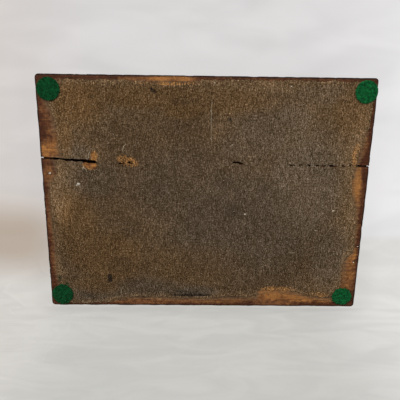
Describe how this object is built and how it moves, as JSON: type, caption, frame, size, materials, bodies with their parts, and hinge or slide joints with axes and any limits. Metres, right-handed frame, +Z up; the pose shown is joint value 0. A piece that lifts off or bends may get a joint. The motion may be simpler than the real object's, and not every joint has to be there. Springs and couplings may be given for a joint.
{
  "type": "writing slope",
  "caption": "Table-top writing slope: wooden box with hinged sloping lid, rear ledge with inkwells and pen groove, small inner drawer, cloth-covered base on felt discs.",
  "frame": {"origin": "centre of the box's outline on the surface that its felt discs stand on", "axes": "+Z up, -Y towards the writer, where the lock is, +X to the writer's right"},
  "size_m": [0.305, 0.225, 0.1204],
  "materials": {
    "mahogany": "dark red-brown mahogany, french polished",
    "bare_mahogany": "dark stained base board, worn to orange in patches",
    "lining_wood": "plain pale softwood, waxed",
    "boxwood": "turned and polished boxwood",
    "coarse_cloth": "coarse brown-grey woven cloth, worn and stained",
    "green_felt": "fuzzy green felt",
    "green_leather": "dark green leather with a plain tooled line",
    "brass": "aged polished brass",
    "steel": "filed steel",
    "clear_glass": "thick clear pressed glass"
  },
  "bodies": {
    "box": {"felt_foot_front_left": "green_felt", "felt_foot_front_right": "green_felt", "felt_foot_back_left": "green_felt", "felt_foot_back_right": "green_felt", "base_cloth": "coarse_cloth", "base_board_front": "bare_mahogany", "base_board_back": "bare_mahogany", "front_wall": "mahogany", "back_wall": "mahogany", "left_wall": "mahogany", "right_wall": "mahogany", "ledge_board": "mahogany", "ink_cell_side_left": "lining_wood", "ink_cell_side_right": "lining_wood", "ink_cell_front_left": "lining_wood", "ink_cell_front_right": "lining_wood", "pigeonhole_shelf": "lining_wood", "lid_hinge_left_ledge_leaf": "brass", "lid_hinge_right_ledge_leaf": "brass", "lid_hinge_left_pin": "brass", "lid_hinge_right_pin": "brass", "ledge_screw_1": "brass", "ledge_screw_2": "brass", "ledge_screw_3": "brass", "ledge_screw_4": "brass", "lock_case": "brass", "lock_plate": "brass", "escutcheon": "brass", "lock_screw_left": "brass", "lock_screw_right": "brass", "inkwell_left_glass": "clear_glass", "inkwell_right_glass": "clear_glass", "inkwell_left_collar": "brass", "inkwell_right_collar": "brass", "inkwell_left_cap_pin": "brass", "inkwell_right_cap_pin": "brass"},
    "lid": {"lid_board": "mahogany", "lid_cleat_left": "mahogany", "lid_cleat_right": "mahogany", "paper_rest": "mahogany", "writing_leather": "green_leather", "lid_hinge_left_lid_leaf": "brass", "lid_hinge_right_lid_leaf": "brass", "lid_screw_1": "brass", "lid_screw_2": "brass", "lid_screw_3": "brass", "lid_screw_4": "brass", "link_plate": "brass", "link_hoop": "brass", "link_screw_left": "brass", "link_screw_right": "brass"},
    "drawer": {"drawer_front": "lining_wood", "drawer_side_left": "lining_wood", "drawer_side_right": "lining_wood", "drawer_back": "lining_wood", "drawer_bottom": "lining_wood", "drawer_knob": "boxwood"},
    "lock_bolt": {"lock_bolt": "steel"},
    "left_cap": {"inkwell_left_cap": "brass"},
    "right_cap": {"inkwell_right_cap": "brass"}
  },
  "joints": [
    {"name": "lid_hinge", "type": "hinge", "parent": "box", "child": "lid", "pos_m": [0, 0.05039, 0.1075], "axis": [-1, 0, 0], "range_deg": [0, 110]},
    {"name": "left_cap_hinge", "type": "hinge", "parent": "box", "child": "left_cap", "pos_m": [-0.1221, 0.0977, 0.1119], "axis": [-1, 0, 0], "range_deg": [0, 105]},
    {"name": "right_cap_hinge", "type": "hinge", "parent": "box", "child": "right_cap", "pos_m": [0.1221, 0.0977, 0.1119], "axis": [-1, 0, 0], "range_deg": [0, 105]},
    {"name": "drawer_slide", "type": "slide", "parent": "box", "child": "drawer", "axis": [0, -1, 0], "range_m": [0, 0.038]},
    {"name": "lock_bolt_slide", "type": "slide", "parent": "box", "child": "lock_bolt", "axis": [1, 0, 0], "range_m": [0, 0.005]}
  ]
}
